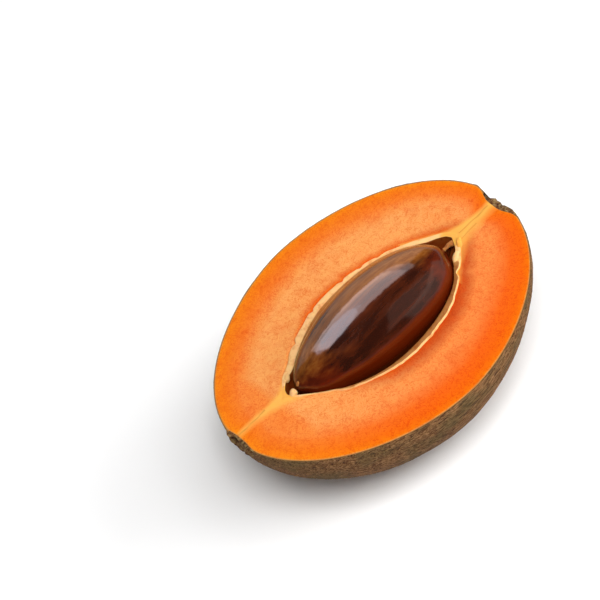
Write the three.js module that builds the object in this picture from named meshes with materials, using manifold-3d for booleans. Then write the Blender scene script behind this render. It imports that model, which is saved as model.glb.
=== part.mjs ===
// Half of a ripe mamey sapote, cut lengthways from the stalk scar to the tip and lying cut face up,
// with its one seed still in its hollow. Three pieces: the rind, the flesh in it and the seed in that.
//
// Millimetres. +X runs along the fruit towards the stalk end, +Z points up out of the cut face,
// and the origin lies on the table, under the middle of the fruit.
import * as THREE from "three";
import { mergeVertices } from "three/addons/utils/BufferGeometryUtils.js";
import Module from "manifold-3d";

const wasm = await Module();
wasm.setup();

// Driving dimensions.
const fruit = {
  halfLength: 70, // middle to end, along X
  halfWidth: 53.2, // widest radius, rind included
  roundness: 1.79, // 2 is an ellipse, less is more pointed
  egg: 0.015, // how much wider the stalk end is than the tip
  sag: 0.06, // how much deeper the tip is than the stalk end
  bow: 2, // how far the two ends lie off the X axis, along Y
  flatDepth: 0.9, // height missing at the spot that it lies on
};
const rindThickness = 1.3;
const seam = 0.3; // the clearance between pieces that touch

// The scars at the two ends of the fruit. Each is a dimple with a low raised ring round it, and lies
// to one side of the end. The flesh is drawn in further, because the woody scar is thicker than rind.
const stalkScar = {
  side: -3.2, // of the end of the fruit, along Y
  dimple: 2.9,
  fleshDimple: 3.4,
  dimpleRadius: 7.3,
  ringRadius: 9.5,
  ringHeight: 0.35,
  ringWidth: 1.6,
};
const tipScar = {
  side: 1.5,
  dimple: 0.8,
  fleshDimple: 1.3,
  dimpleRadius: 5.5,
  ringRadius: 5,
  ringHeight: 0.8,
  ringWidth: 1.5,
};

// The hollow and the seed in it are two spindles. The middle line of each runs a little askew of the
// X axis and bows off it, along Y.
const hollow = {
  middle: 0.1, // along X, from the middle of the fruit
  halfLength: 44.3,
  halfWidth: 21.2,
  halfHeight: 16.9,
  fullness: 0.73, // 0.5 is an ellipse, 1 is sharply pointed
  egg: 0,
  side: -0.5,
  skew: -1.2,
  bow: 2,
  lift: 0,
};
const lip = { width: 2.4, height: 0.8 }; // the pale rim of the hollow
const seed = {
  middle: -0.8,
  halfLength: 39.5,
  halfWidth: 17,
  halfHeight: 15.5,
  fullness: 0.62,
  egg: 0.05,
  side: -0.5,
  skew: -1,
  bow: 1.3,
  lift: -0.9, // its middle line below the cut face, with a seam left at the hollow's floor
};

const cutHeight = fruit.halfWidth - fruit.flatDepth; // the cut face above the table
const reach = 400; // longer than anything here

// Rows of points from end to end, as degrees from the tip, and points round the axis. The skin has
// closer rows over its scars.
const rows = (first, last, count) =>
  Array.from({ length: count }, (_, i) => first + ((last - first) * i) / (count - 1));
const mirrored = (steps) => steps.map((step) => 180 - step).reverse();
const scarRows = [0, 2.5, 4.5, 6, 7.5, 9, 10.5, 12, 13.5, 15];
const dimpleRows = [0, 4, 8, 12];
const mesh = {
  skin: { rows: [...scarRows, ...rows(17.5, 162.5, 28), ...mirrored(scarRows)], sides: 56 },
  lining: { rows: [...dimpleRows, ...rows(17.5, 162.5, 28), ...mirrored(dimpleRows)], sides: 56 },
  hollow: { rows: rows(0, 180, 31), sides: 44 },
  seed: { rows: rows(0, 180, 31), sides: 36 },
};

const radians = THREE.MathUtils.degToRad;
const snapToZero = (value) => (Math.abs(value) < 1e-6 ? 0 : value);
const bell = (distance, width) => Math.exp(-((distance / width) ** 2));

// A ball, turned on the X axis, whose points are put where place(along, angle) says: along runs
// from -1 at one end of the axis to 1 at the other, and angle turns about it from +Y towards +Z.
function shapedBall(ball, place) {
  const outline = ball.rows.map((row) => new THREE.Vector2(Math.sin(radians(row)), -Math.cos(radians(row))));
  outline[0].x = 0;
  outline[outline.length - 1].x = 0;
  const turned = new THREE.LatheGeometry(outline, ball.sides);
  const points = turned.getAttribute("position");
  for (let i = 0; i < points.count; i++) {
    const angle = Math.atan2(points.getX(i), points.getZ(i));
    points.setXYZ(i, ...place(points.getY(i), angle).map(snapToZero));
  }
  return solid(turned);
}

// A point of the fruit's skin, or of that skin drawn in by inset. Its radius is the half width times
// the square root of 1 - |along|^roundness, with two slow waves round it.
function skinPoint(along, angle, inset) {
  const belly = Math.sqrt(Math.max(0, 1 - Math.abs(along) ** fruit.roundness));
  const waves =
    0.006 * Math.cos(2 * angle + 0.9 + 1.2 * along) + 0.005 * Math.cos(3 * angle - 0.5 + 2.1 * along);
  const radius = (fruit.halfWidth - inset) * belly * (1 + waves * belly);
  const across = radius * (1 + fruit.egg * along) * Math.cos(angle);
  const up = radius * (1 - fruit.sag * along) * Math.sin(angle);
  const outward = Math.sign(along) * scarRelief(along > 0 ? stalkScar : tipScar, across, up, inset);
  return [along * (fruit.halfLength - inset) + outward, across + fruit.bow * along * along, up];
}

// How far a scar stands out of the end of the fruit at a point across and up from that end: its
// ring, higher on one side, less its dimple. The flesh under it has the dimple alone.
function scarRelief(scar, across, up, inset) {
  const distance = Math.hypot(across - scar.side, up);
  const dimple = bell(distance, scar.dimpleRadius);
  if (inset) return -scar.fleshDimple * dimple;
  const angle = Math.atan2(up, across - scar.side);
  const ringRadius = scar.ringRadius * (1 + 0.1 * Math.cos(3 * angle) + 0.05 * Math.sin(7 * angle));
  const ringHeight = scar.ringHeight * (1 + 0.45 * Math.cos(angle));
  return ringHeight * bell(distance - ringRadius, scar.ringWidth) - scar.dimple * dimple;
}

const skin = (inset) =>
  shapedBall(inset ? mesh.lining : mesh.skin, (along, angle) => skinPoint(along, angle, inset));

// A spindle with its own width and height.
function spindle(ball, shape) {
  return shapedBall(ball, (along, angle) => {
    const girth = Math.max(0, 1 - along * along) ** shape.fullness * (1 + shape.egg * along);
    const middleLine = shape.side + shape.skew * along + shape.bow * along * along;
    return [
      shape.middle + along * shape.halfLength,
      middleLine + girth * shape.halfWidth * Math.cos(angle),
      shape.lift + girth * shape.halfHeight * Math.sin(angle),
    ];
  });
}

const aboveHeight = (z) => solid(new THREE.BoxGeometry(reach, reach, reach).translate(0, 0, z + reach / 2));
const belowHeight = (z) => solid(new THREE.BoxGeometry(reach, reach, reach).translate(0, 0, z - reach / 2));

// A closed geometry as a manifold-3d solid, and back.
function solid(geometry) {
  geometry.deleteAttribute("normal");
  geometry.deleteAttribute("uv");
  const welded = mergeVertices(geometry, 1e-4);
  const body = new wasm.Mesh({
    numProp: 3,
    vertProperties: new Float32Array(welded.getAttribute("position").array),
    triVerts: new Uint32Array(welded.index.array),
  });
  return new wasm.Manifold(body);
}

function geometryOf(body) {
  const { vertProperties, triVerts } = body.getMesh();
  const geometry = new THREE.BufferGeometry();
  geometry.setAttribute("position", new THREE.BufferAttribute(vertProperties, 3));
  geometry.setIndex(new THREE.BufferAttribute(triVerts, 1));
  const faceted = geometry.toNonIndexed();
  faceted.computeVertexNormals();
  return faceted;
}

function makeRind() {
  return skin(0).subtract(skin(rindThickness)).subtract(aboveHeight(0)).subtract(belowHeight(-cutHeight));
}

function makeFlesh() {
  const rim = spindle(mesh.hollow, {
    ...hollow,
    halfLength: hollow.halfLength + lip.width,
    halfWidth: hollow.halfWidth + lip.width,
  });
  return skin(rindThickness + seam)
    .subtract(aboveHeight(0))
    .add(rim.subtract(aboveHeight(lip.height)))
    .subtract(spindle(mesh.hollow, hollow));
}

function makeSeed() {
  return spindle(mesh.seed, seed);
}

function node(name, body, look) {
  const made = new THREE.Mesh(geometryOf(body), new THREE.MeshStandardMaterial(look));
  made.name = name;
  return made;
}

const mamey = new THREE.Group();
mamey.add(
  node("rind", makeRind(), { color: 0x7a5c3e, roughness: 0.9, metalness: 0 }),
  node("flesh", makeFlesh(), { color: 0xf4702a, roughness: 0.45, metalness: 0 }),
  node("seed", makeSeed(), { color: 0x3a1a0e, roughness: 0.15, metalness: 0 }),
);
mamey.position.z = cutHeight;

export default mamey;
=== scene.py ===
from functools import partial

import bmesh
import bpy
import numpy as np
from mathutils import Matrix, Vector


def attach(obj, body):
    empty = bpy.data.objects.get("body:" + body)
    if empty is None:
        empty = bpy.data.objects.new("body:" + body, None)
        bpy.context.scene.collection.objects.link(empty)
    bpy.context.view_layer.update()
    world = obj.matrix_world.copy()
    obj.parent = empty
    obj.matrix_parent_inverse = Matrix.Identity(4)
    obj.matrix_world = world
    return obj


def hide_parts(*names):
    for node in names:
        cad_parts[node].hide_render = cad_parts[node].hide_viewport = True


# Half of a ripe mamey sapote, cut lengthways and lying cut face up, with its seed in the hollow.
# Sizes are in millimetres, with z = 0 at the cut face, until a piece's mesh is made in metres.
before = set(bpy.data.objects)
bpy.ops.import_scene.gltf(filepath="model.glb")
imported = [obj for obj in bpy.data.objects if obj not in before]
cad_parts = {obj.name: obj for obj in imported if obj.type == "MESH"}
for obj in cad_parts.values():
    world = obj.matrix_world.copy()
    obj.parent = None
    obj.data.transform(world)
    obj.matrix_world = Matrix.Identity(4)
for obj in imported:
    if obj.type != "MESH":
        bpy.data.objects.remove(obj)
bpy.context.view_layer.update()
print("stage: frame loaded, nodes", sorted(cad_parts))

metresPerMm = 0.001
fruit = {
    "halfLength": 70,  # middle to end, along X
    "halfWidth": 53.2,  # widest radius, rind included
    "roundness": 1.79,  # 2 is an ellipse, less is more pointed
    "egg": 0.015,  # how much wider the stalk end is
    "sag": 0.06,  # how much deeper the tip is
    "bow": 2,  # how far the two ends lie off the X axis
    "flatDepth": 0.9,  # height missing at the spot that it lies on
    # slow waves round it: height as a share of its radius, how many, start and twist in radians
    "waves": [(0.006, 2, 0.9, 1.2), (0.005, 3, -0.5, 2.1)],
}
cutHeight = fruit["halfWidth"] - fruit["flatDepth"]  # the cut face above the table
# a scar is a dimple in a low ring, set to one side along Y, with a recess of its own in the flesh
stalkScar = {
    "side": -3.2, "dimple": 2.9, "dimpleRadius": 7.3,
    "fleshSide": -4.5, "fleshDimple": 4.25, "fleshRadius": 8.0,
    "ringRadius": 9.5, "ringHeight": 0.35, "ringWidth": 1.6,
}
tipScar = {
    "side": 1.5, "dimple": 0.8, "dimpleRadius": 5.5,
    "fleshSide": 1.5, "fleshDimple": 1.4, "fleshRadius": 5.8,
    "ringRadius": 5, "ringHeight": 0.8, "ringWidth": 1.5,
}
scarRing = {"threeLobes": 0.1, "sevenLobes": 0.05, "higherSide": 0.45}  # shares of its radius and height


# 1 at the middle, falling off like a bell to either side
def bell(distance, width):
    return np.exp(-((distance / width) ** 2))


# 0 below low, 1 above high, and 3s^2 - 2s^3 between
def smoothStep(low, high, value):
    s = np.clip((value - low) / (high - low), 0, 1)
    return s * s * (3 - 2 * s)


# Noise of a height and size in mm: random values on a cubic lattice, blended smoothly between a cell's
# eight corners. A value is its place and the noise's seed times large odd numbers, its bits stirred.
def valueNoise(points, heightAndSize, noiseSeed):
    height, size = heightAndSize
    xOdd, yOdd, zOdd, seedOdd, stirrer = 73856093, 19349663, 83492791, 2654435761, 1274126177
    latticeStart = 512.37
    scaled = np.asarray(points, float) / size + latticeStart
    cell = np.floor(scaled).astype(np.int64)
    part = scaled - cell
    blend = part * part * (3 - 2 * part)
    total = np.zeros(scaled.shape[:-1])
    for corner in np.ndindex(2, 2, 2):
        at = cell + np.array(corner)
        mixed = at[..., 0] * xOdd ^ at[..., 1] * yOdd ^ at[..., 2] * zOdd ^ noiseSeed * seedOdd
        mixed = (mixed ^ (mixed >> 13)) * stirrer & 0xFFFFFFFF
        value = ((mixed ^ (mixed >> 16)) & 0xFFFF) / 32767.5 - 1
        weight = np.prod(np.where(np.array(corner) == 1, blend, 1 - blend), axis=-1)
        total += weight * value
    return height * total


# How far a scar stands out of the end of the fruit: its ring, lobed and higher on one side, less its
# dimple. The flesh has its recess instead, e^-(distance / radius)^3, which has a flatter bottom.
def scarRelief(scar, across, up, inset):
    distance = np.hypot(across - scar["side"], up)
    dimple = bell(distance, scar["dimpleRadius"])
    angle = np.arctan2(up, across - scar["side"])
    lobes = scarRing["threeLobes"] * np.cos(3 * angle), scarRing["sevenLobes"] * np.sin(7 * angle)
    ringRadius = scar["ringRadius"] * (1 + lobes[0] + lobes[1])
    ringHeight = scar["ringHeight"] * (1 + scarRing["higherSide"] * np.cos(angle))
    ring = ringHeight * bell(distance - ringRadius, scar["ringWidth"]) - scar["dimple"] * dimple
    fromRecess = np.hypot(across - scar["fleshSide"], up)
    recess = scar["fleshDimple"] * np.exp(-((fromRecess / scar["fleshRadius"]) ** 3))
    return np.where(inset > 0, -recess, ring)


# The fruit's skin, or that skin drawn in by inset. Its radius is the half width times the square root
# of 1 - |along|^roundness, with slow waves round it; angle turns from +Y towards +Z.
def skinPoint(along, angle, inset):
    along, angle, inset = np.broadcast_arrays(along, angle, inset)
    belly = np.sqrt(np.maximum(0, 1 - np.abs(along) ** fruit["roundness"]))
    waves = sum(height * np.cos(count * angle + start + twist * along)
                for height, count, start, twist in fruit["waves"])
    radius = (fruit["halfWidth"] - inset) * belly * (1 + waves * belly)
    across = radius * (1 + fruit["egg"] * along) * np.cos(angle)
    up = radius * (1 - fruit["sag"] * along) * np.sin(angle)
    relief = np.where(along > 0, scarRelief(stalkScar, across, up, inset),
                      scarRelief(tipScar, across, up, inset))
    x = along * (fruit["halfLength"] - inset) + np.sign(along) * relief
    return np.stack([x, across + fruit["bow"] * along * along, up], axis=-1)


# A spindle: girth (1 - along^2)^fullness round a middle line that runs askew and bows
def spindlePoint(along, angle, shape):
    along, angle = np.broadcast_arrays(along, angle)
    thin = np.maximum(0, 1 - along * along)
    egg = 1 + shape["egg"] * along
    wide = thin ** shape["fullness"] * egg
    tall = thin ** shape.get("depthFullness", shape["fullness"]) * egg
    middleLine = shape["side"] + shape["skew"] * along + shape["bow"] * along * along
    return np.stack([
        shape["middle"] + along * shape["halfLength"],
        middleLine + wide * shape["halfWidth"] * np.cos(angle),
        shape["lift"] + tall * shape["halfHeight"] * np.sin(angle),
    ], axis=-1)


# Unit normals of a grid of points: the cross product of the steps along its rows and its columns
def gridNormals(points):
    normals = np.cross(np.gradient(points, axis=0), np.gradient(points, axis=1))
    return normals / np.maximum(np.linalg.norm(normals, axis=-1, keepdims=True), 1e-9)


# A smooth curve through the values at the places: a cubic between each two, with their mean slopes
def smoothCurve(at, places, values):
    places, values = np.array(places, float), np.array(values, float)
    slopes = np.gradient(values, places)
    i = np.clip(np.searchsorted(places, at) - 1, 0, len(places) - 2)
    gap = places[i + 1] - places[i]
    s = np.clip((at - places[i]) / gap, 0, 1)
    rise = values[i + 1] - values[i]
    return (values[i] + s * gap * slopes[i] + s * s * (3 * rise - gap * (2 * slopes[i] + slopes[i + 1]))
            + s ** 3 * (gap * (slopes[i] + slopes[i + 1]) - 2 * rise))


# Quads of a grid whose columns go round and meet
def ringFaces(rows, columns):
    at = np.arange(rows * columns).reshape(rows, columns)
    nextColumn = np.roll(at, -1, axis=1)
    quads = np.stack([at[:-1], nextColumn[:-1], nextColumn[1:], at[1:]], axis=-1)
    return quads.reshape(-1, 4)


# Puts a grid of points into a mesh in metres, sews up its poles and seams, and turns its faces out
def makePiece(name, points, marks, material, slot, node=None):
    sewnWithin, shortestEdge = 0.002 * metresPerMm, 1e-8
    rows, columns = points.shape[:2]
    placed = points.reshape(-1, 3) + [0, 0, cutHeight]
    placed[:, 2] = np.maximum(placed[:, 2], 0)  # nothing goes below the table
    mesh = bpy.data.meshes.new(name)
    mesh.from_pydata(placed * metresPerMm, [], ringFaces(rows, columns))
    for label, values in marks.items():
        values = np.ascontiguousarray(values, dtype=np.float32)
        kind, field = ("FLOAT_VECTOR", "vector") if values.ndim == 3 else ("FLOAT", "value")
        mesh.attributes.new(label, kind, "POINT").data.foreach_set(field, values.ravel())
    sewn = bmesh.new()
    sewn.from_mesh(mesh)
    bmesh.ops.remove_doubles(sewn, verts=sewn.verts, dist=sewnWithin)
    bmesh.ops.dissolve_degenerate(sewn, edges=sewn.edges, dist=shortestEdge)
    if sewn.calc_volume(signed=True) < 0:
        bmesh.ops.reverse_faces(sewn, faces=sewn.faces)
    sewn.to_mesh(mesh)
    sewn.free()
    mesh.shade_smooth()
    mesh.materials.append(material)
    piece = bpy.data.objects.new(name, mesh)
    bpy.context.scene.collection.objects.link(piece)
    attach(piece, "root")
    if node:
        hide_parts(node)
    print("stage:", name, len(mesh.loops) - 2 * len(mesh.polygons), "triangles")


# Linear colour of an sRGB hex value, by the curve that sRGB is defined with
def linear(hexColour):
    channels = [int(hexColour[i:i + 2], 16) / 255 for i in (1, 3, 5)]
    return [c / 12.92 if c <= 0.04045 else ((c + 0.055) / 1.055) ** 2.4 for c in channels] + [1]


# Adds a node and gives its outputs. Its settings are properties, a ramp's stops or the values of its
# sockets, and a setting that is another node's output is a link.
def addNode(tree, kind, settings=None):
    node = tree.nodes.new("ShaderNode" + kind)
    for key, value in (settings or {}).items():
        if isinstance(value, bpy.types.NodeSocket):
            tree.links.new(value, node.inputs[key])
        elif key == "stops":
            ramp = node.color_ramp
            while len(ramp.elements) < len(value):
                ramp.elements.new(0.5)
            for element, (place, colour) in zip(ramp.elements, value):
                element.position = place
                element.color = linear(colour)
        elif isinstance(key, str) and hasattr(node, key):
            setattr(node, key, value)
        else:
            node.inputs[key].default_value = linear(value) if isinstance(value, str) else value
    return node.outputs


# Paints layers over a base colour, one after the other. Each is what drives it, the driver's values
# where it is absent and where it is strongest, its share there, its colour, and any other blend.
def paintLayers(add, base, layers):
    for driver, absent, strongest, most, paint, *blend in layers:
        share = add("MapRange", {"From Min": absent, "From Max": strongest, "To Max": most,
                                 "Value": driver})["Result"]
        base = add("Mix", {"data_type": "RGBA", "blend_type": blend[0] if blend else "MIX",
                           0: share, 6: base, 7: paint})[2]
    return base


# A new material with no nodes yet, and addNode for its own tree
def newMaterial(name):
    material = bpy.data.materials.new(name)
    material.use_nodes = True
    material.node_tree.nodes.clear()
    return material, partial(addNode, material.node_tree)


# The rind: a thin shell, closed round its cut edge
rind = {
    "rows": 330,
    "crowding": 0.035,  # of the rows towards its two ends and its middle
    "outerColumns": 226, "innerColumns": 24,
    "rimColumns": [0.1, 0.22, 0.36, 0.5, 0.64, 0.78, 0.9],  # shares of the way through the rind
    "thickness": 0.5,
    "rimDrop": 0.15,  # of the rind's cut edge below the flesh, which dries back less
    "sideDrop": 0.12,  # of both sides' tops below the cut edge
    "sideways": 1.5,  # down to this depth the relief stands out more sideways
    "lumps": (0.3, 15),  # height and size, as of all that is uneven here
    "dents": (0.1, 5.5),
    "scurf": 0.15,  # height of the flaky grain
    "ridges": 0.7, "ridgeSize": 1.1,  # the share of it that is sharp ridges, and how wide they are
    "specks": (0.4, 0.66),  # the share that is finer, and its size
    "flakeLength": 6,  # times the width
    "scarGrain": (0.3, 1.0),
    # woody places: middle along Y on the rim, radius, and the end of the fruit that they are on
    "stalkWood": (-4.8, 8.6, 1),
    "tipWood": (2.0, 7.0, -1),
    "woodFrom": 55,  # from the middle of the fruit, along X
    "woodSoft": 0.6, "woodWobble": (0.8, 2.5),  # half width of its soft edge, and the waves in it
    "tornUp": 0.1, "torn": (0.4, 0.9),  # how far the wood stands up at the cut, and how that varies
    # what stands out of the scars or is sunk in them: x, y, z, radius, height
    "knobs": [(68, -1.2, 0, 1.6, 1.25), (68, -3.8, -0.5, 1.6, 0.9), (67, -9.5, -1.5, 1.8, 0.3),
              (-69.5, -1.0, -3.5, 1.6, 0.9), (-69.5, 6.5, -2.5, 1.5, 0.5)],
    "pits": [(68, 1.6, 0, 0.9, 0.9), (67, 3.6, 0, 0.9, 0.5), (67, -7.2, -1.0, 0.7, 0.35),
             (67.3, -5.6, -0.2, 0.45, 0.5),
             (-69.2, 5.6, -1.5, 1.2, 1.1), (-68.4, 2.3, 0, 0.45, 0.5), (-69.0, 0.6, 0, 0.4, 0.5),
             (-69.6, -1.0, 0, 0.5, 0.6), (-69.8, -2.6, -0.6, 0.55, 0.6)],
    "endways": (0.3, 1, 1),  # knobs and pits reach further along X, through the skin at the ends
    "look": {
        "deep": "#24140A", "brown": "#694427", "flake": "#A87C50",
        # the pits' near black colour is painted shade in them
        "olive": "#565030", "wood": "#9A8455", "woodDark": "#24160B", "pit": "#150C06",
        "cut": "#50381C", "cutInner": "#B07E44",
        # noise patterns: size across in mm, detail, roughness, distortion
        "grain": (0.62, 3, 0.65, 0.9),  # real flakes are 0.2 to 0.5 mm, drawn coarser to show
        "cracks": (0.9, 2, 0.5, 1.0),
        "cloud": (12.5, 3, 0.55, 0),
        "knots": (1.6129, 4, 0.7, 0),
        "stretch": (0.14, 1, 1),  # flakes and cracks are about 7 times as long as wide
        "reliefShare": 0.07,  # how much lighter the shape's own ridges are
        "bumpHeight": 0.4,
    },
}


# Rind of a mamey sapote, which is a dry, scurfy, corky skin: rough and matt, with tan flakes over
# a darker brown that run lengthways, and no shine, so the eye sees grain everywhere
def scurfyRind():
    look = rind["look"]
    material, add = newMaterial("scurfy mamey rind")
    place = add("TexCoord")["Object"]
    mark = {name: add("Attribute", {"attribute_name": name})["Fac"]
            for name in ("relief", "woody", "cutEdge", "pit")}
    stretched = add("Mapping", {"Scale": look["stretch"], "Vector": place})["Vector"]
    pattern = {}
    for name, across in (("grain", stretched), ("cracks", stretched), ("cloud", place), ("knots", place)):
        size, detail, roughness, distortion = look[name]
        pattern[name] = add("TexNoise", {
            "Scale": 1 / (size * metresPerMm), "Detail": detail, "Roughness": roughness,
            "Distortion": distortion, "Vector": across})["Fac"]
    height = add("Math", {"operation": "MULTIPLY_ADD", 0: mark["relief"], 1: look["reliefShare"],
                          2: pattern["grain"]})[0]
    skin = add("ValToRGB", {"Fac": height, "stops": [
        (0.32, look["deep"]), (0.47, look["brown"]), (0.66, look["flake"])]})["Color"]
    wood = add("ValToRGB", {"Fac": pattern["knots"], "stops": [
        (0.34, look["woodDark"]), (0.46, look["brown"]), (0.66, look["wood"])]})["Color"]
    # the cut edge: brown outside and paler towards the flesh
    sliced = add("ValToRGB", {"Fac": mark["cutEdge"], "stops": [
        (0.2, look["cut"]), (0.75, look["cutInner"])]})["Color"]
    colour = paintLayers(add, skin, [
        (pattern["cloud"], 0.44, 0.66, 0.5, look["olive"]),
        (pattern["cracks"], 0.4, 0.3, 0.8, look["deep"]),
        (mark["woody"], 0, 1, 1, wood),
        (mark["cutEdge"], 0, 0.2, 0.85, sliced),
        # painted shade in the pits
        (mark["pit"], 0, 1, 1, look["pit"]),
    ])
    bumps = add("Bump", {"Strength": 1.0, "Distance": look["bumpHeight"] * metresPerMm,
                         "Height": pattern["grain"]})["Normal"]
    shader = add("BsdfPrincipled", {"Roughness": 0.86, "IOR": 1.45, "Specular IOR Level": 0.2,
                                    "Base Color": colour, "Normal": bumps})["BSDF"]
    add("OutputMaterial", {"Surface": shader})
    return material


# The rind's section is a C: the outer arc under the belly from -Y to +Y, its cut edge, the inner
# arc back, and the other cut edge; it is carried along the fruit from tip to stalk
def rindGrid():
    step = np.linspace(0, 1, rind["rows"])
    along = -np.cos(np.pi * (step - rind["crowding"] * np.sin(4 * np.pi * step) / 2))[:, None]
    outer = np.linspace(np.pi, 2 * np.pi, rind["outerColumns"])
    inner = np.linspace(2 * np.pi, np.pi, rind["innerColumns"])
    rim = np.array(rind["rimColumns"])
    shares = np.concatenate([outer * 0, rim, inner * 0 + 1, rim[::-1]])[None]
    angles = np.concatenate([outer, rim * 0 + 2 * np.pi, inner, rim * 0 + np.pi])[None]
    onOuter, onRim = shares == 0, (shares > 0) & (shares < 1)
    outside = skinPoint(along, angles, 0)
    inside = skinPoint(along, angles, rind["thickness"])
    points = outside * (1 - shares[..., None]) + inside * shares[..., None]
    normals = gridNormals(outside)
    normals *= np.sign(-normals[..., 2].sum())  # outwards is down, under the belly
    normals[..., 2] *= smoothStep(0, rind["sideways"], -points[..., 2])
    unevenness = valueNoise(points, rind["lumps"], 1) + valueNoise(points, rind["dents"], 2)
    lengthways = points * [1 / rind["flakeLength"], 1, 1]
    ridges = 1 - 2 * np.abs(valueNoise(lengthways, (1, rind["ridgeSize"]), 3))
    scurf = rind["scurf"] * (rind["ridges"] * ridges + valueNoise(lengthways, rind["specks"], 4))
    woody = np.zeros(points.shape[:2])
    for side, radius, end in (rind["stalkWood"], rind["tipWood"]):
        distance = np.hypot(points[..., 1] - side, points[..., 2]) + valueNoise(points, rind["woodWobble"], 6)
        inWood = smoothStep(radius + rind["woodSoft"], radius - rind["woodSoft"], distance)
        woody = np.maximum(woody, inWood * (points[..., 0] * end > rind["woodFrom"]))
    bark = valueNoise(points, rind["scarGrain"], 5) * woody
    relief = unevenness + scurf * (1 - woody) + bark
    for x, y, z, radius, tall in rind["knobs"]:
        relief = relief + tall * bell(np.linalg.norm((points - [x, y, z]) * rind["endways"], axis=-1), radius)
    # the pits are sunk, and their mark paints them near black as shade
    pit = np.zeros(points.shape[:2])
    for x, y, z, radius, deep in rind["pits"]:
        hole = bell(np.linalg.norm((points - [x, y, z]) * rind["endways"], axis=-1), radius)
        relief = relief - deep * hole
        pit = np.maximum(pit, hole)
    points = points + normals * (relief * (1 - shares) * (onOuter | onRim))[..., None]
    torn = woody * onRim * (rind["tornUp"] + valueNoise(points * [1, 1, 0], rind["torn"], 7))
    top = -rind["rimDrop"] - rind["sideDrop"] * ~onRim
    points[..., 2] = np.minimum(points[..., 2], top) + torn
    # the flat spot, with the rind still as thick there
    points[..., 2] = np.maximum(points[..., 2], -cutHeight + rind["thickness"] * shares)
    return points, {
        "relief": scurf / rind["scurf"] * onOuter,
        "woody": woody,
        "pit": pit * (onOuter | onRim),
        "cutEdge": (onRim * shares + (shares == 1)) * (1 - woody),
    }


makePiece("scurfy_rind", *rindGrid(), scurfyRind(), "rind", "rind")

# The seed, first because the flesh's hollow is shaped round it
seed = {
    "middle": -0.8, "halfLength": 39.5, "halfWidth": 17, "halfHeight": 15.5,
    "fullness": 0.62, "egg": 0.05, "side": -0.5, "skew": -1, "bow": 1.3, "lift": -0.9,
    "rows": 260, "columns": 200,
    "ripple": 0.03,  # height of the slow waves that bend a reflection's edge
    "ripples": [(1, 5), (0.4, 2.2)],  # shares of that, and sizes
    "shiver": (0.012, 1.3),  # height and size of the short ones that fray it
    # how far it bulges low on its near side, by place along X, and where round it: degrees, half width
    "bulgePlaces": [-38.5, -35, -25, -10, 5, 15, 25, 31, 35, 38],
    "bulge": [0, 1.2, 1.0, 0.8, 1.0, 1.8, 2.8, 2.7, 1.3, 0],
    "bulgeRound": (200, 42),
    "scarDepth": 0.25,  # of the flat scar along its underside
    # amber patches on top, partly the seed's own amber and partly painted light beside its highlight:
    # strength, place along from -1 to 1, half length, degrees round, half width
    "amberAndLightPatches": [(0.65, -0.78, 0.22, 92, 42), (0.9, 0.72, 0.2, 88, 22), (0.35, 0.35, 0.3, 88, 14)],
    # the amber on the far side is partly painted light: that side is drawn lighter as if lit from there
    "amberLitFarSide": 0.8, "ruddySide": 0.9, "ruddyEnds": 0.6,  # strengths on its far and near side and ends
    "look": {
        "dark": "#2A0D04", "brown": "#4A1C08", "ruddy": "#5C1A03", "amber": "#743C0C",
        "pale": "#925822", "hilum": "#B08A62",
        # noise patterns: size across in mm, detail, roughness
        "streaks": (3.0303, 3, 0.55), "fine": (1.1111, 3, 0.6),
        "stretch": (0.12, 1, 1), "bumpHeight": 0.05,  # both are about 8 times as long as wide
    },
}
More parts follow.
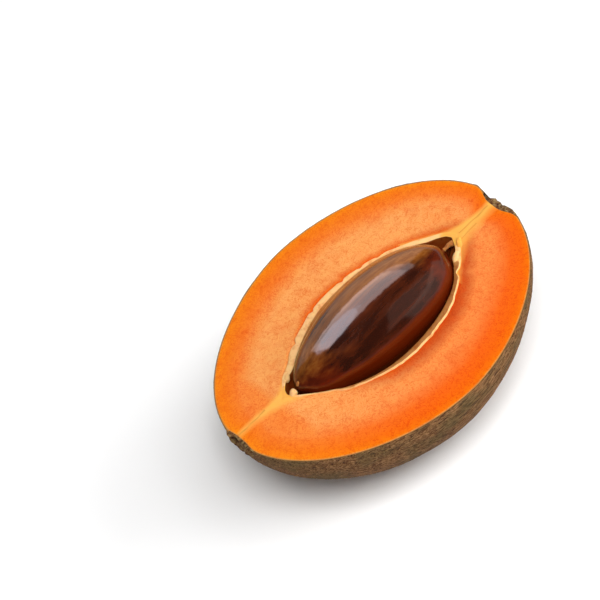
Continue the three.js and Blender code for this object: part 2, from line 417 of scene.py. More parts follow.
# The flesh and its hollow
flesh = {
    "columns": 480, "liningRows": 16, "faceRows": 92, "wallRows": 28, "bevelRows": 7,
    "hollow": {
        "middle": 0.1, "halfLength": 44.3, "halfWidth": 21.2, "halfHeight": 16.9,
        "fullness": 0.73, "egg": 0, "side": -0.5, "skew": -1.2, "bow": 2, "lift": 0,
    },
    "hollowDeep": {"depthFullness": 0.5, "halfHeight": 16.8},  # its floor drops faster at its two ends
    "inset": 0.42,  # of the flesh's outline, just over the rind's inner wall
    "lining": 0.4,  # how much further in the hidden lining is
    "corner": [(0.25, -0.6), (0, -0.28), (0.08, -0.1)],  # the rounded outline: further in, height
    "flatHeight": 0.6,  # of its flat underside above the table, just clear of the rind's inner wall
    "besideSeed": 0.5,  # the far wall's distance from the seed
    "roomForSeed": (1.6, 34, 6),  # depth, place along X and half length of the near wall's wider part
    "lipWidth": 2.5, "lipHeight": {"far": 0.5, "near": 0.6},
    "lipRagged": 0.35, "ragged": [(1, 4.5), (0.6, 1.7)],  # shares of that, and sizes
    "lipWaves": (0.3, 3),  # share of its height, and size
    "lipBumps": (0.06, 1),
    "lipAtEnds": 0.85,  # how much lower it is at its two ends
    "wallStart": 9,  # degrees below the cut face
    "wallBumps": (0.08, 1.4),
    "uneven": [(0.07, 4), (0.03, 1.3)],  # slight waves of the cut face
    "rolledEdge": (0.1, 0.5),  # drop and width of its edge by the rind
    # along the lip: mm from it, half width, depth, and how much deeper on the far side by the tip
    "groove": (0.45, 0.5, 0.12, 0.3),
    "wander": (0.3, 1.6),  # of the edges of the wedges
    "wedgeRaised": 0.1, "lineDepth": 0.12,
    # the lip's height from its foot, 0, to the hollow's edge, 1: flat on the far side of the seed, and
    # a crest that slopes down to it on the near side
    "lipPlaces": [0, 0.05, 0.14, 0.3, 0.6, 0.85, 0.95, 1],
    "lipProfiles": {"far": [-0.05, 0.8, 1, 1, 0.95, 0.85, 0.6, 0.1],
                    "near": [-0.05, 0.7, 1, 0.8, 0.3, -0.1, -0.4, -0.9]},
    # how far the lip's foot and the hollow's edge lie off their spindles, along Y, by place along X
    "places": [-44, -40, -35, -30, -20, -10, 0, 10, 20, 30, 35, 38, 40, 44],
    "footFar": [-1.6, -1.5, -2.4, -1.5, -1.2, -0.4, -0.6, -0.9, -1.1, -1.6, -1.8, -1.7, -1.6, -0.4],
    "footNear": [2.2, 3.2, 2.5, 1.0, 0.0, -0.5, -0.5, -0.4, -0.6, 0.1, 0.8, 0.8, 0.8, 0.4],
    "edgeFar": [0.3, -0.8, -3.0, -2.7, -1.5, -0.5, -0.3, 0.1, 0.4, -0.4, -1.6, -1.6, -1.0, 0.6],
    "edgeNear": [0.5, 0.9, 0.5, -0.2, -0.7, -0.5, 0.0, 0.1, -0.1, 0.1, 1.4, 2.0, 0.6, 0.3],
    # torn places in the lip: x, side of the seed, half length, depth
    "nicks": [(-27, 1, 1.2, 1.1), (-12, 1, 1.0, 0.9), (5, 1, 0.9, 0.8), (14, 1, 1.0, 0.8),
              (22, 1, 1.2, 0.9), (34, -1, 1.3, 1.2), (-33, -1, 1.5, 0.6)],
    # the pale wedges between the hollow's ends and the scars: their two edges by place along X
    "tipWedge": {"x": [-71, -65, -60, -55, -51, -47, -43.5, -38, -34, -30],
                 "high": [5.4, 6.4, 6.3, 6.0, 5.8, 6.0, 7.3, 10.4, 13.0, 15.2],
                 "low": [4.2, 3.5, 3.1, 1.8, 0.6, -0.6, -2.2, -5.0, -9.4, -13.0],
                 "soften": 1.5},  # how many times softer its low edge is than its high one
    "stalkWedge": {"x": [30, 36, 41, 46, 51, 57, 62, 65, 69],
                   "high": [15.6, 11.4, 7.8, 4.0, 2.2, 1.0, 0.3, 0.6, 2.0],
                   "low": [-17.6, -12.6, -9.6, -6.9, -5.6, -5.0, -4.6, -4.6, -7.0],
                   "soften": 2.2},
    # fine dark lines down the wedges: y by place along X
    "lines": [{"x": [-70, -64, -58, -54], "y": [5.0, 4.9, 4.6, 4.9], "width": 0.16},
              {"x": [47.5, 52.6, 57.4, 64], "y": [-0.7, -0.9, -1.4, -1.0], "width": 0.16},
              {"x": [45, 49, 55], "y": [-3.6, -3.4, -3.2], "width": 0.12}],
    "zoneReach": 28,  # from the rind to where its colours end
    "lipFromRind": 24, "awayFromLip": 20, "offWedge": -9, "inWedge": 3,  # mm, off the cut face
    # the inner band, redder flesh by the hollow and on the far side also a painted shadow under the lip's
    # raised edge: mm from the lip where it starts, where it is strongest, and its share there
    "farBand": (4.0, 0.8, 0.9), "nearBand": (7.4, 3.1, 1.0),
    "look": {
        # the far colours are paler than the near ones as painted sheen; the far inner colour is also a
        # painted shadow under the lip's raised edge
        "edgeLine": "#DA8E40", "farEdge": "#EC8609", "farOuter": "#E6780E", "farOuterMid": "#E67B28",
        "farMiddle": "#E99E56", "nearEdge": "#E67200", "nearOuter": "#E46200", "nearOuterMid": "#E56210",
        "nearMiddle": "#E8843E", "farInner": "#D65A04", "nearInner": "#B63800",
        # down the wall the bed colours darken as painted shade; lipShade is painted shade on the near lip,
        # and the deepest one is shade in the end pockets
        "lip": "#EEBE80", "lipShade": "#B47A44", "bed": "#9A5420", "bedDeep": "#74300C",
        "strand": "#EEAE50", "line": "#AC6826", "blush": "#DA5212",
        # these four darken what is under them
        "fibre": "#F2A077", "wrinkle": "#EA9468", "speckle": "#FFC9A0", "bedSpot": "#DCA468",
        # noise patterns: size across in mm, detail, roughness, distortion
        "fibres": (1.1, 3, 0.55, 0),  # real ones are 0.2 to 0.5 mm, drawn coarser so that they show
        "cloud": (5, 4, 0.62, 0.6),
        "wrinkles": (2.1, 1, 0.5, 1.8),  # from one fine line of the grain to the next
        "grain": (0.8, 2, 0.5, 0),
        "bedSpots": (2.38095, 4, 0.6, 0),
        "wrinkleHeight": 0.12, "grainHeight": 0.1,
        "glow": 1.5,  # mm that light goes into it
    },
}


# Ripe mamey flesh, which is smooth, moist and dense like a cooked sweet potato, and was cut with a
# knife: salmon orange with a soft sheen, painted paler on the far side, a fine wrinkled grain, faint
# fibres running out from the hollow, a redder band by the hollow with a painted shadow under the far
# lip's edge, a yellower one by the rind, and cream or tan where the seed's bed shows, painted darker
# as shade down the hollow's wall, in its end pockets and on the near lip
def mameyFlesh():
    look = flesh["look"]
    material, add = newMaterial("moist mamey flesh")
    place = add("TexCoord")["Object"]
    mark = {name: add("Attribute", {"attribute_name": name})["Fac"]
            for name in ("fromRind", "fromLip", "wedge", "line", "bed")}
    inMm = add("Attribute", {"attribute_name": "grain"})["Vector"]
    pattern = {}
    for name in ("fibres", "cloud", "wrinkles", "grain", "bedSpots"):
        size, detail, roughness, distortion = look[name]
        across, unit = (inMm, 1) if name == "fibres" else (place, metresPerMm)
        pattern[name] = add("TexNoise", {
            "Scale": 1 / (size * unit), "Detail": detail, "Roughness": roughness,
            "Distortion": distortion, "Vector": across})["Fac"]
    # the wrinkles lie where their noise passes through its middle value
    offMiddle = add("Math", {"operation": "SUBTRACT", 0: pattern["wrinkles"], 1: 0.5})[0]
    offLine = add("Math", {"operation": "ABSOLUTE", 0: offMiddle})[0]

    # the colours by the rind and the lip, on each side
    fromRind = add("MapRange", {"From Max": flesh["zoneReach"], "Value": mark["fromRind"]})["Result"]
    zoned = {}
    for side in ("far", "near"):
        zones = add("ValToRGB", {"Fac": fromRind, "stops": [
            (0.0, look["edgeLine"]), (0.006, look["edgeLine"]), (0.017, look[side + "Edge"]),
            (0.12, look[side + "Outer"]), (0.3, look[side + "OuterMid"]), (0.56, look[side + "Middle"]),
        ]})["Color"]
        # the band by the lip: redder flesh, and on the far side also a painted shadow under the lip's raised
        # edge
        start, strongest, most = flesh[side + "Band"]
        zoned[side] = paintLayers(add, zones, [
            (mark["fromLip"], start, strongest, most, look[side + "Inner"])])
    # painted sheen: the far side's paler colours stand in for a sheen of light, and the redder near ones take
    # over towards the -Y rim and the stalk
    axes = add("SeparateXYZ", {"Vector": place})
    sheenSlant = add("Math", {"operation": "MULTIPLY_ADD", 0: axes["X"], 1: -0.35, 2: axes["Y"]})[0]
    # the bed of the seed, by the path from the hollow's edge
    bedPath = add("MapRange", {"From Max": 12.0, "Value": mark["bed"]})["Result"]
    # the bed darkens down the wall, painted shade deeper in the hollow and in its end pockets
    bed = add("ValToRGB", {"Fac": bedPath, "stops": [
        (0.0, look["lip"]), (0.078, look["lip"]), (0.1, look["lipShade"]), (0.3, look["bed"]),
        (0.75, look["bedDeep"])]})["Color"]
    spotted = paintLayers(add, bed, [(pattern["bedSpots"], 0.5, 0.68, 0.6, look["bedSpot"], "MULTIPLY")])
    colour = paintLayers(add, zoned["far"], [
        (sheenSlant, 0.005, -0.04, 1, zoned["near"]),
        (pattern["cloud"], 0.48, 0.7, 0.35, look["blush"]),
        (pattern["fibres"], 0.55, 0.75, 0.25, look["fibre"], "MULTIPLY"),
        (offLine, 0.06, 0.01, 0.5, look["wrinkle"], "MULTIPLY"),
        (pattern["grain"], 0.45, 0.7, 0.15, look["speckle"], "MULTIPLY"),
        (mark["wedge"], -0.6, 1.4, 0.9, look["strand"]),  # mm inside the pale wedge's edge
        (mark["line"], 0, 1, 0.55, look["line"]),
        (mark["bed"], 0, 0.1, 1, spotted),
    ])
    soft = add("Bump", {"Strength": 0.3, "Distance": look["wrinkleHeight"] * metresPerMm,
                        "Height": offLine})["Normal"]
    bumps = add("Bump", {"Strength": 0.2, "Distance": look["grainHeight"] * metresPerMm,
                         "Height": pattern["grain"], "Normal": soft})["Normal"]
    roughness = add("MapRange", {"From Min": 0.35, "From Max": 0.7, "To Min": 0.4, "To Max": 0.55,
                                 "Value": pattern["cloud"]})["Result"]
    shader = add("BsdfPrincipled", {
        "Base Color": colour, "Normal": bumps, "Roughness": roughness,
        "IOR": 1.38, "Specular IOR Level": 0.03, "Subsurface Weight": 0.2,
        "Subsurface Radius": (1.0, 0.35, 0.12), "Subsurface Scale": look["glow"] * metresPerMm})["BSDF"]
    add("OutputMaterial", {"Surface": shader})
    return material


# The flesh is one skin: up its lining from the bottom line to the outline, across the cut face to
# the foot of the lip, over the lip, and down the wall of the hollow to that wall's bottom line.
# Each column keeps one place along the fruit, cos(turn), on one side of it.
def fleshGrid():
    turn = np.linspace(0, 2 * np.pi, flesh["columns"], endpoint=False)[None]
    along = np.cos(turn)
    far = np.sin(turn) >= 0
    sideAngle = np.where(far, 0, np.pi)
    downwards = np.where(far, -1, 1)  # way to turn to go below the cut face

    # the hidden lining, up from the bottom, then the rounded outline
    rise = np.linspace(0, 1, flesh["liningRows"])[:, None]
    upwards = sideAngle + downwards * (np.pi / 2) * (1 - rise)
    lining = skinPoint(along, upwards, flesh["inset"] + flesh["lining"])
    outline = skinPoint(along, sideAngle, flesh["inset"])
    corner = np.stack([skinPoint(along, sideAngle, flesh["inset"] + extra)[0] + [0, 0, drop]
                       for extra, drop in flesh["corner"]])

    # lip, ragged and nicked on its outside
    hollow = flesh["hollow"]
    plainEdge = spindlePoint(along, sideAngle, hollow)
    edge = plainEdge.copy()
    foot = spindlePoint(along, sideAngle, dict(
        hollow, halfLength=hollow["halfLength"] + flesh["lipWidth"],
        halfWidth=hollow["halfWidth"] + flesh["lipWidth"]))
    fade = smoothStep(0, 0.02, 1 - np.abs(along))  # the two sides meet at the ends
    for curve, name in ((foot, "foot"), (edge, "edge")):
        off = np.where(far, smoothCurve(curve[..., 0], flesh["places"], flesh[name + "Far"]),
                       smoothCurve(curve[..., 0], flesh["places"], flesh[name + "Near"]))
        curve[..., 1] += off * fade
    outward = foot - edge
    outward /= np.linalg.norm(outward, axis=-1, keepdims=True)
    slow, quick = flesh["ragged"]
    ragged = flesh["lipRagged"] * (valueNoise(foot, slow, 11) + valueNoise(foot, quick, 12))
    for x, side, half, depth in flesh["nicks"]:
        ragged = ragged - depth * bell(foot[..., 0] - x, half) * (far == (side > 0))
    ragged = ragged * smoothStep(42, 34, np.abs(foot[..., 0]))
    foot = foot + outward * ragged[..., None]

    # cut face, with a groove along the lip's foot, a slight unevenness and an edge that rolls down
    share = np.linspace(0, 1, flesh["faceRows"])[1:-1, None, None]
    share = share - 0.06 * np.sin(2 * np.pi * share)
    face = outline * (1 - share) + foot * share
    x, y = face[..., 0], face[..., 1]
    width = np.linalg.norm(foot - outline, axis=-1)
    fromRind = share[..., 0] * width
    fromLip = (1 - share[..., 0]) * width
    offset, half, depth, further = flesh["groove"]
    deeper = further * far * smoothStep(-45, -35, x) * smoothStep(12, -2, x)
    groove = bell(fromLip - offset, half) * (depth + deeper)
    uneven = valueNoise(face, flesh["uneven"][0], 13) + valueNoise(face, flesh["uneven"][1], 14)
    face[..., 2] = uneven * smoothStep(0, 2, fromRind)
    face[..., 2] -= groove + flesh["rolledEdge"][0] * bell(fromRind, flesh["rolledEdge"][1])

    # pale wedges, raised a little, and dark lines sunk in them, at the two ends
    wander = valueNoise(face * [0.4, 1, 1], flesh["wander"], 15)
    wedge = np.full(x.shape, float(flesh["offWedge"]))
    for shape, ends in ((flesh["tipWedge"], x < -30), (flesh["stalkWedge"], x > 30)):
        high = np.interp(x, shape["x"], shape["high"]) - y
        low = (y - np.interp(x, shape["x"], shape["low"])) / shape["soften"]
        wedge = np.where(ends, np.minimum(high, low) + wander, wedge)
    line = np.zeros(x.shape)
    for crack in flesh["lines"]:
        inside = (x > crack["x"][0]) & (x < crack["x"][-1])
        offset = y - np.interp(x, crack["x"], crack["y"]) + wander
        line = np.maximum(line, inside * bell(offset, crack["width"] * 1.6))
    face[..., 2] += flesh["wedgeRaised"] * smoothStep(-0.3, 1.5, wedge) - flesh["lineDepth"] * line

    # over the lip, which is level at its two ends
    over = np.array([0, 0.03, 0.07, 0.12, 0.2, 0.3, 0.42, 0.54, 0.66, 0.76, 0.85, 0.92, 0.97, 1])
    top = {side: np.interp(over, flesh["lipPlaces"], profile)[:, None] * flesh["lipHeight"][side]
           for side, profile in flesh["lipProfiles"].items()}
    lipRows = foot[None, 0] * (1 - over[:, None, None]) + edge[None, 0] * over[:, None, None]
    atEnd = smoothStep(36, 40, np.abs(foot[..., 0]))
    lipHeight = (1 + valueNoise(foot, flesh["lipWaves"], 17)) * (1 - flesh["lipAtEnds"] * atEnd)
    bumps = valueNoise(lipRows, flesh["lipBumps"], 18)
    lipRows[..., 2] = np.where(far, top["far"], top["near"]) * lipHeight + bumps

    # wall of the hollow: steep on the near side, and snug against the seed on the far side
    start = np.radians(flesh["wallStart"])
    turnDown = start + (np.pi / 2 - start) * np.linspace(0, 1, flesh["wallRows"])[:, None]
    wall = spindlePoint(along, sideAngle + downwards * turnDown, dict(hollow, **flesh["hollowDeep"]))
    wall[..., 1] += (edge - plainEdge)[..., 1] * np.cos(turnDown) ** 2
    depth, middle, half = flesh["roomForSeed"]
    wall[..., 1] -= depth * bell(wall[..., 0] - middle, half) * ~far
    onSeed = np.clip((wall[..., 0] - seed["middle"]) / seed["halfLength"], -1, 1)
    beside = spindlePoint(onSeed, sideAngle + downwards * turnDown, dict(
        seed, halfWidth=seed["halfWidth"] + flesh["besideSeed"],
        halfHeight=seed["halfHeight"] + flesh["besideSeed"]))
    snug = (far * smoothStep(37, 30, np.abs(wall[..., 0]))
            * smoothStep(np.radians(75), np.radians(35), turnDown))
    wall[..., 1:] += (beside - wall)[..., 1:] * snug[..., None]
    bevel = np.linspace(0, 1, flesh["bevelRows"])[1:-1, None, None]
    rough = np.concatenate([lipRows[-1:] * (1 - bevel) + wall[:1] * bevel, wall[:-1]])
    bumps = valueNoise(rough * [0.4, 1, 1], flesh["wallBumps"], 19)
    rough = rough + bumps[..., None] * [0, 0, 1.0]

    grid = np.concatenate([lining, corner, face, lipRows, rough, wall[-1:]])
    grid[..., 2] = np.maximum(grid[..., 2], -cutHeight + flesh["flatHeight"])

    # marks: mm from the rind, from the lip and into a wedge, and how much of a line
    beforeFace = len(lining) + len(corner)
    onFace, afterFace = slice(beforeFace, beforeFace + len(face)), slice(beforeFace + len(face), None)
    blank = np.zeros((len(grid), turn.shape[1]))
    marks = {"fromRind": blank.copy(), "fromLip": blank + flesh["awayFromLip"],
             "wedge": blank + flesh["offWedge"], "line": blank.copy(), "bed": blank.copy()}
    # the zones by the rind are narrower towards the stalk, and by the tip the middle's colour ends
    narrower = fromRind * (1 + 0.35 * smoothStep(30, 65, x))
    reach = flesh["zoneReach"] - 18 * smoothStep(38, 52, -x)
    marks["fromRind"][onFace] = np.minimum(narrower, reach)
    marks["fromRind"][afterFace] = flesh["lipFromRind"]
    # the redder band by the hollow, with its painted shadow under the far lip, fades out towards the tip
    marks["fromLip"][onFace] = fromLip + 4.5 * smoothStep(-12, -38, x)
    marks["fromLip"][afterFace] = 0
    marks["wedge"][onFace] = wedge
    marks["wedge"][afterFace] = flesh["inWedge"]
    marks["line"][onFace] = line
    # the bed mark rises to 1 over the lip, and then by the path down the wall in mm, which paints the wall
    # darker deeper down as shade; the near side's lip is painted tan as the seed's shade but for its crest,
    # and the walls of the end pockets are painted dark as shade
    beforeWall = beforeFace + len(face) + len(lipRows)
    shade = 1.3 * ~far * (1 - atEnd) * smoothStep(0.03, 0.2, over[:, None])
    onLip = (0.1 + 0.8 * over[:, None] + shade) * smoothStep(45, 40, np.abs(foot[..., 0]))
    marks["bed"][beforeFace + len(face):beforeWall] = onLip
    path = np.cumsum(np.linalg.norm(np.diff(grid[beforeWall - 1:], axis=0), axis=-1), axis=0)
    pocketShade = 5 * atEnd * smoothStep(0, 0.8, path)
    marks["bed"][beforeWall:] = onLip[-1] + 0.3 + path * np.where(far, 1, 0.35) + pocketShade
    # fibres run out from the hollow: their pattern turns round the fruit, and changes slowly inwards
    inwards = np.clip(1 - marks["fromRind"] / flesh["zoneReach"], 0, 1)
    marks["grain"] = np.stack([45 * np.cos(turn) + blank, 45 * np.sin(turn) + blank, 4 * inwards], axis=-1)
    return grid, marks


fleshMaterial = mameyFlesh()
makePiece("mamey_flesh", *fleshGrid(), fleshMaterial, "flesh", "flesh")


# Mamey seed coat, which is hard, smooth and polished as if varnished: near black brown in the
# middle, red brown low down and amber towards its far side and ends, that amber partly its own and
# partly painted light, in streaks that run lengthways, with mirror-like reflections whose edges waver
# slightly
def polishedSeed():
    look = seed["look"]
    material, add = newMaterial("polished mamey seed")
    place = add("TexCoord")["Object"]
    mark = {name: add("Attribute", {"attribute_name": name})["Fac"]
            for name in ("ruddy", "amber", "hilum")}
    stretched = add("Mapping", {"Scale": look["stretch"], "Vector": place})["Vector"]
    streaks, fine = (add("TexNoise", {
        "Scale": 1 / (size * metresPerMm), "Detail": detail, "Roughness": roughness, "Vector": stretched,
    })["Fac"] for size, detail, roughness in (look["streaks"], look["fine"]))
    # the ruddy and the amber marks' shares, pushed up and down by the streaks; the amber is partly painted
    # light
    offMiddle = add("Math", {"operation": "SUBTRACT", 0: streaks, 1: 0.5})[0]
    streaky = {}
    for name, push in (("ruddy", 0.6), ("amber", 0.9)):
        pushed = add("Math", {"operation": "MULTIPLY_ADD", 0: offMiddle, 1: push, 2: mark[name]})[0]
        streaky[name] = add("MapRange", {"interpolation_type": "SMOOTHSTEP", "From Min": 0.1,
                                         "From Max": 0.95, "Value": pushed})["Result"]
    amber = paintLayers(add, look["amber"], [(fine, 0.35, 0.75, 1, look["pale"])])
    colour = paintLayers(add, look["dark"], [
        (streaks, 0.4, 0.7, 1, look["brown"]),
        (streaky["ruddy"], 0, 1, 1, look["ruddy"]),
        (streaky["amber"], 0, 1, 1, amber),
        (mark["hilum"], 0, 1, 1, look["hilum"]),
    ])
    dull = add("MapRange", {"To Min": 0.12, "To Max": 0.75, "Value": mark["hilum"]})["Result"]
    bumps = add("Bump", {"Strength": 0.1, "Distance": look["bumpHeight"] * metresPerMm,
                         "Height": fine})["Normal"]
    shader = add("BsdfPrincipled", {"IOR": 1.53, "Specular IOR Level": 0.5, "Base Color": colour,
                                    "Roughness": dull, "Normal": bumps})["BSDF"]
    add("OutputMaterial", {"Surface": shader})
    return material


# The seed is its spindle with slow waves and a bulge on it, and a dull flat scar along its hidden
# underside, which is its hilum
def seedGrid():
    along = -np.cos(np.linspace(0, np.pi, seed["rows"]))[:, None]
    angle = np.linspace(0, 2 * np.pi, seed["columns"], endpoint=False)[None]
    points = spindlePoint(along, angle, seed)
    normals = gridNormals(points)
    normals *= np.sign(np.sum(normals[..., 1] * np.cos(angle) + normals[..., 2] * np.sin(angle)))
    slow, quick = seed["ripples"]
    waves = valueNoise(points * [0.35, 1, 1], slow, 21) + valueNoise(points * [0.5, 1, 1], quick, 22)
    hilum = (smoothStep(0.34, 0.24, np.abs(angle - 1.5 * np.pi) * np.ones_like(along))
             * smoothStep(0.82, 0.7, np.abs(along)))
    relief = (seed["ripple"] * waves + valueNoise(points, seed["shiver"], 23)
              - seed["scarDepth"] * hilum) * smoothStep(0, 0.1, 1 - np.abs(along))
    angle = np.degrees(angle)
    # the far side painted lighter amber, partly as painted light, and the patches beside the highlight
    amber = (seed["amberLitFarSide"] * smoothStep(98, 74, np.minimum(angle, 360 - angle))
             * (0.35 + 0.65 * smoothStep(-0.5, -0.05, along)))
    for strength, middle, half, turn, turnHalf in seed["amberAndLightPatches"]:
        amber = amber + strength * bell(along - middle, half) * bell(angle - turn, turnHalf)
    ruddy = (seed["ruddySide"] * smoothStep(151, 169, angle) * smoothStep(250, 200, angle)
             + seed["ruddyEnds"] * smoothStep(0.45, 0.8, np.abs(along)) * smoothStep(60, 110, angle))
    bulge = np.clip(smoothCurve(points[..., 0], seed["bulgePlaces"], seed["bulge"]), 0, None)
    turn, turnHalf = seed["bulgeRound"]
    relief = relief + bulge * bell(angle - turn, turnHalf) * smoothStep(0, 0.06, 1 - np.abs(along))
    points = points + normals * relief[..., None]
    return points, {"hilum": hilum, "amber": np.clip(amber, 0, 1), "ruddy": np.clip(ruddy, 0, 1)}


makePiece("polished_seed", *seedGrid(), polishedSeed(), "seed", "seed")

# Torn strands and lumps of pulp in the pockets at the seed's two ends
strands = {  # x, y, z and radius of their knots; a bed mark of 0 is the wedge's yellow, a low one the
    # lip's cream and a higher one its tan
    "tip_nub": {"bed": 0.8, "knots": [
        (-44.8, 0.4, -2.2, 0.9), (-43.2, 0.9, -1.0, 1.3), (-42.0, 1.3, -0.1, 1.5), (-41.0, 1.5, 0.3, 1.2)]},
    "tip_lump": {"bed": 1.0, "knots": [
        (-40.4, 7.4, -1.4, 0.7), (-39.4, 8.0, -0.7, 1.1), (-38.4, 8.6, -0.3, 1.1), (-37.4, 9.2, -0.3, 0.6)]},
    "seed_nub": {"bed": 1.3, "knots": [
        (-39.7, 1.6, 0.6, 0.4), (-39.1, 1.6, 1.2, 0.7), (-38.5, 1.6, 1.8, 0.8), (-37.9, 1.6, 2.3, 0.5)]},
    "stalk_strand": {"bed": 2.0, "knots": [
        (38.0, 0.4, -2.4, 1.1), (39.8, -0.3, -1.6, 0.7), (41.6, -0.5, -1.4, 1.0), (43.8, -1.6, -1.2, 1.5)]},
    "stalk_lump": {"bed": 0, "knots": [
        (46.4, -1.6, -1.0, 0.8), (45.0, -3.0, -0.6, 1.3), (43.6, -4.6, -0.6, 1.3), (42.4, -6.2, -1.0, 0.8)]},
    "lip_lump": {"bed": 0.8, "knots": [
        (41.2, -6.0, -0.9, 0.8), (39.6, -6.9, -0.4, 1.3), (37.8, -7.9, -0.4, 1.4), (36.0, -9.2, -0.9, 0.8)]},
}
strandShape = {"rows": 40, "columns": 28, "lumpy": (0.18, 1.1), "firstSeed": 31}


# A tube: a circle carried along a smooth path, its radius closing like a dome over each end
def strandGrid(strand, noiseSeed):
    places = np.array(strand["knots"], float)
    knots = np.linspace(0, 1, len(places))
    steps = np.linspace(0, 1, strandShape["rows"])
    smooth = np.stack([np.polyval(np.polyfit(knots, places[:, i], 3), steps) for i in range(3)], axis=-1)
    radius = np.interp(steps, knots, places[:, 3]) * np.sqrt(np.maximum(0, 1 - (2 * steps - 1) ** 6))
    forward = np.gradient(smooth, axis=0)
    forward /= np.linalg.norm(forward, axis=-1, keepdims=True)
    across = np.cross(forward, [0, 0, 1.0])
    across /= np.linalg.norm(across, axis=-1, keepdims=True)
    upward = np.cross(across, forward)
    angle = np.linspace(0, 2 * np.pi, strandShape["columns"], endpoint=False)[None, :, None]
    ring = np.cos(angle) * across[:, None] + np.sin(angle) * upward[:, None]
    points = smooth[:, None] + ring * radius[:, None, None]
    lumps = valueNoise(points, strandShape["lumpy"], noiseSeed) * (radius > 0.05)[:, None]
    points = points + ring * lumps[..., None]  # but for its two closed ends
    blank = np.zeros(points.shape[:2])
    return points, {
        "fromRind": blank + flesh["lipFromRind"], "fromLip": blank, "wedge": blank + flesh["inWedge"],
        "line": blank, "bed": blank + strand["bed"], "grain": points * [1, 1, 0.2],
    }


for number, (name, strand) in enumerate(strands.items()):
    makePiece(name, *strandGrid(strand, strandShape["firstSeed"] + number), fleshMaterial, "flesh")

# The floor, the lights and the camera
studio = {
    "centre": (0, 0, cutHeight),  # what the lights and the camera are set round
    # place is from the centre in mm, size is across and up, and power is in watts; a ceiling panel
    # faces straight down, turned by its roll, and another faces the centre; a matt light shades matt
    # surfaces, and the others show in polished ones alone
    "lights": {
        "key": {"place": (-280, -520, 1380), "size": (650, 650), "power": 16, "matt": True},
        "top": {"place": (400, -690, 1410), "size": (830, 830), "power": 9, "matt": True},
        "side": {"place": (1200, -800, 693), "size": (1250, 1060), "power": 20, "matt": True},
        "softbox": {"place": (230, 757, 1000), "size": (1440, 1220), "roll": 6, "power": 25,
                    "ceiling": True, "tint": (1, 0.8, 0.78)},
        "softboxEnd": {"place": (1105, 849, 1000), "size": (320, 1220), "roll": 6, "power": 2.8,
                       "ceiling": True, "tint": (1, 0.8, 0.78)},
        "glow": {"place": (-170, 450, 900), "size": (640, 760), "power": 3.6,
                 "ceiling": True, "round": True, "tint": (0.7, 0.8, 1)},
        "glowCore": {"place": (-190, 450, 900), "size": (400, 560), "power": 1.9,
                     "ceiling": True, "round": True, "tint": (0.7, 0.8, 1)},
        "haze": {"place": (300, 1130, 480), "size": (2200, 1000), "power": 9, "tint": (1, 0.66, 0.48)},
        "front": {"place": (1650, -1800, 1000), "size": (2650, 2500), "power": 11,
                  "ceiling": True, "tint": (1, 0.62, 0.5)},
        "window": {"place": (1055, -740, 180), "size": (1690, 650), "power": 1.9, "tint": (1, 0.85, 0.75)},
    },
    "room": 0.06,  # the light of the pale room on matt surfaces
    "roomInGloss": 0.05,  # the same room as a polished surface mirrors it: mostly dark
    "floor": "#FAFAFA",
    "floorInGloss": (0.25, 0.5),  # what a polished surface mirrors of the floor in front and behind
    "floorFade": (-0.15, 0.0),  # where that changes, along Y in metres
    "floorTint": (1, 0.95, 0.9, 1),
    "floorReach": 3.0,  # metres from its middle to its sides
    "floorHeight": -0.0002,
    "roomTint": (1, 0.99, 0.98, 1),
}
view = {
    "right": (0.673, -0.7034, -0.2284),
    "up": (0.675, 0.458, 0.5785),
    "back": (-0.3023, -0.5435, 0.7831),
    "distance": 700,
    "aim": (-27.4, 6.2),  # of the picture's middle from the cut face's, right and up
    "lens": 112.3, "sensor": 36,
    "clip": (0.05, 20),  # metres
}


# An area light that faces the centre, or straight down where it is a ceiling panel
def addLight(name, light):
    lamp = bpy.data.lights.new(name, "AREA")
    lamp.shape = "ELLIPSE" if light.get("round") else "RECTANGLE"
    lamp.size, lamp.size_y = (side * metresPerMm for side in light["size"])
    lamp.energy = light["power"]
    lamp.color = light.get("tint", (1, 1, 1))
    place, ceiling, matt = Vector(light["place"]), light.get("ceiling", False), light.get("matt", False)
    facing = Vector((0, 0, 1)) if ceiling else place.normalized()
    roll = np.radians(light.get("roll", 0))
    level = Vector((np.cos(roll), np.sin(roll), 0))
    across = level if ceiling else Vector((0, 0, 1)).cross(facing).normalized()
    turned = Matrix((across, facing.cross(across), facing)).transposed().to_4x4()
    turned.translation = (Vector(studio["centre"]) + place) * metresPerMm
    lampObject = bpy.data.objects.new(name, lamp)
    lampObject.matrix_world = turned
    lampObject.visible_diffuse = lampObject.visible_transmission = matt
    lampObject.visible_glossy = not matt
    bpy.context.scene.collection.objects.link(lampObject)


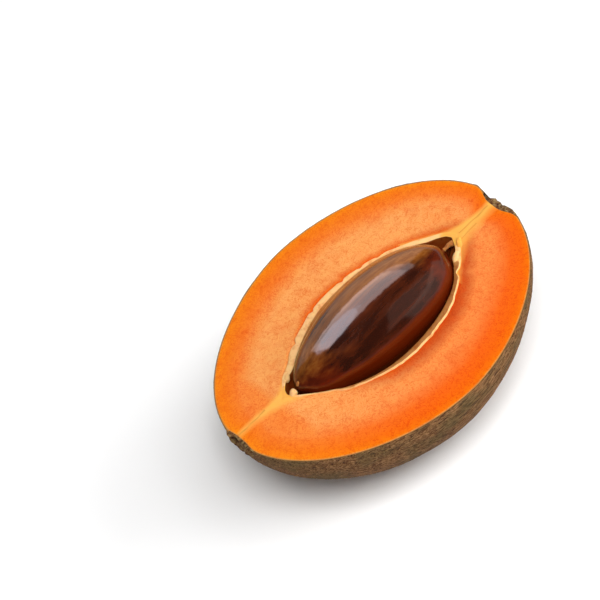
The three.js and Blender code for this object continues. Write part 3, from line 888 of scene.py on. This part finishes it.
# The floor is white paper, which a polished surface mirrors as the dark room behind the lights
def makeFloor():
    material, add = newMaterial("white paper sweep")
    paper = add("BsdfDiffuse", {"Color": studio["floor"], "Roughness": 0.5})[0]
    place = add("TexCoord")["Object"]
    front = add("SeparateXYZ", {"Vector": place})["Y"]
    (fromY, toY), (inFront, behind) = studio["floorFade"], studio["floorInGloss"]
    strength = add("MapRange", {"From Min": fromY, "From Max": toY, "To Min": inFront,
                                "To Max": behind, "Value": front})["Result"]
    mirrored = add("Emission", {"Color": studio["floorTint"], "Strength": strength})[0]
    toMirror = add("LightPath")["Is Glossy Ray"]
    shader = add("MixShader", {0: toMirror, 1: paper, 2: mirrored})[0]
    add("OutputMaterial", {"Surface": shader})
    mesh = bpy.data.meshes.new("floor")
    half, z = studio["floorReach"], studio["floorHeight"]
    corners = [(-half, -half, z), (half, -half, z), (half, half, z), (-half, half, z)]
    mesh.from_pydata(corners, [], [(0, 1, 2, 3)])
    mesh.materials.append(material)
    floor = bpy.data.objects.new("floor", mesh)
    bpy.context.scene.collection.objects.link(floor)


# White to the camera, a pale room to matt surfaces and a dark one to mirrors
def makeWorld():
    world = bpy.data.worlds.new("studio room")
    world.use_nodes = True
    world.node_tree.nodes.clear()
    add = partial(addNode, world.node_tree)
    rays = add("LightPath")
    room = add("Background", {"Color": studio["roomTint"], "Strength": studio["room"]})[0]
    dark = add("Background", {"Color": studio["roomTint"], "Strength": studio["roomInGloss"]})[0]
    seen = add("Background", {"Color": (1, 1, 1, 1), "Strength": 1.0})[0]
    lit = add("MixShader", {0: rays["Is Glossy Ray"], 1: room, 2: dark})[0]
    shown = add("MixShader", {0: rays["Is Camera Ray"], 1: lit, 2: seen})[0]
    add("OutputWorld", {"Surface": shown})
    bpy.context.scene.world = world


# A camera along -back from its place, turned so that the aim is at the middle of the picture
def makeCamera():
    right, up, back = (Vector(view[key]).normalized() for key in ("right", "up", "back"))
    centre = Vector(studio["centre"])
    target = centre + right * view["aim"][0] + up * view["aim"][1]
    eye = centre + back * view["distance"]
    forward = (target - eye).normalized()
    side = forward.cross(up).normalized()
    upright = side.cross(forward)
    turned = Matrix((side, upright, -forward)).transposed().to_4x4()
    turned.translation = eye * metresPerMm
    lens = bpy.data.cameras.new("camera")
    lens.lens = view["lens"]
    lens.sensor_width = view["sensor"]
    lens.clip_start, lens.clip_end = view["clip"]
    camera = bpy.data.objects.new("camera", lens)
    camera.matrix_world = turned
    bpy.context.scene.collection.objects.link(camera)
    bpy.context.scene.camera = camera


makeFloor()
makeWorld()
for name, light in studio["lights"].items():
    addLight(name, light)
makeCamera()
bpy.context.scene.view_settings.view_transform = "Standard"
print("stage: floor, lights and camera set")
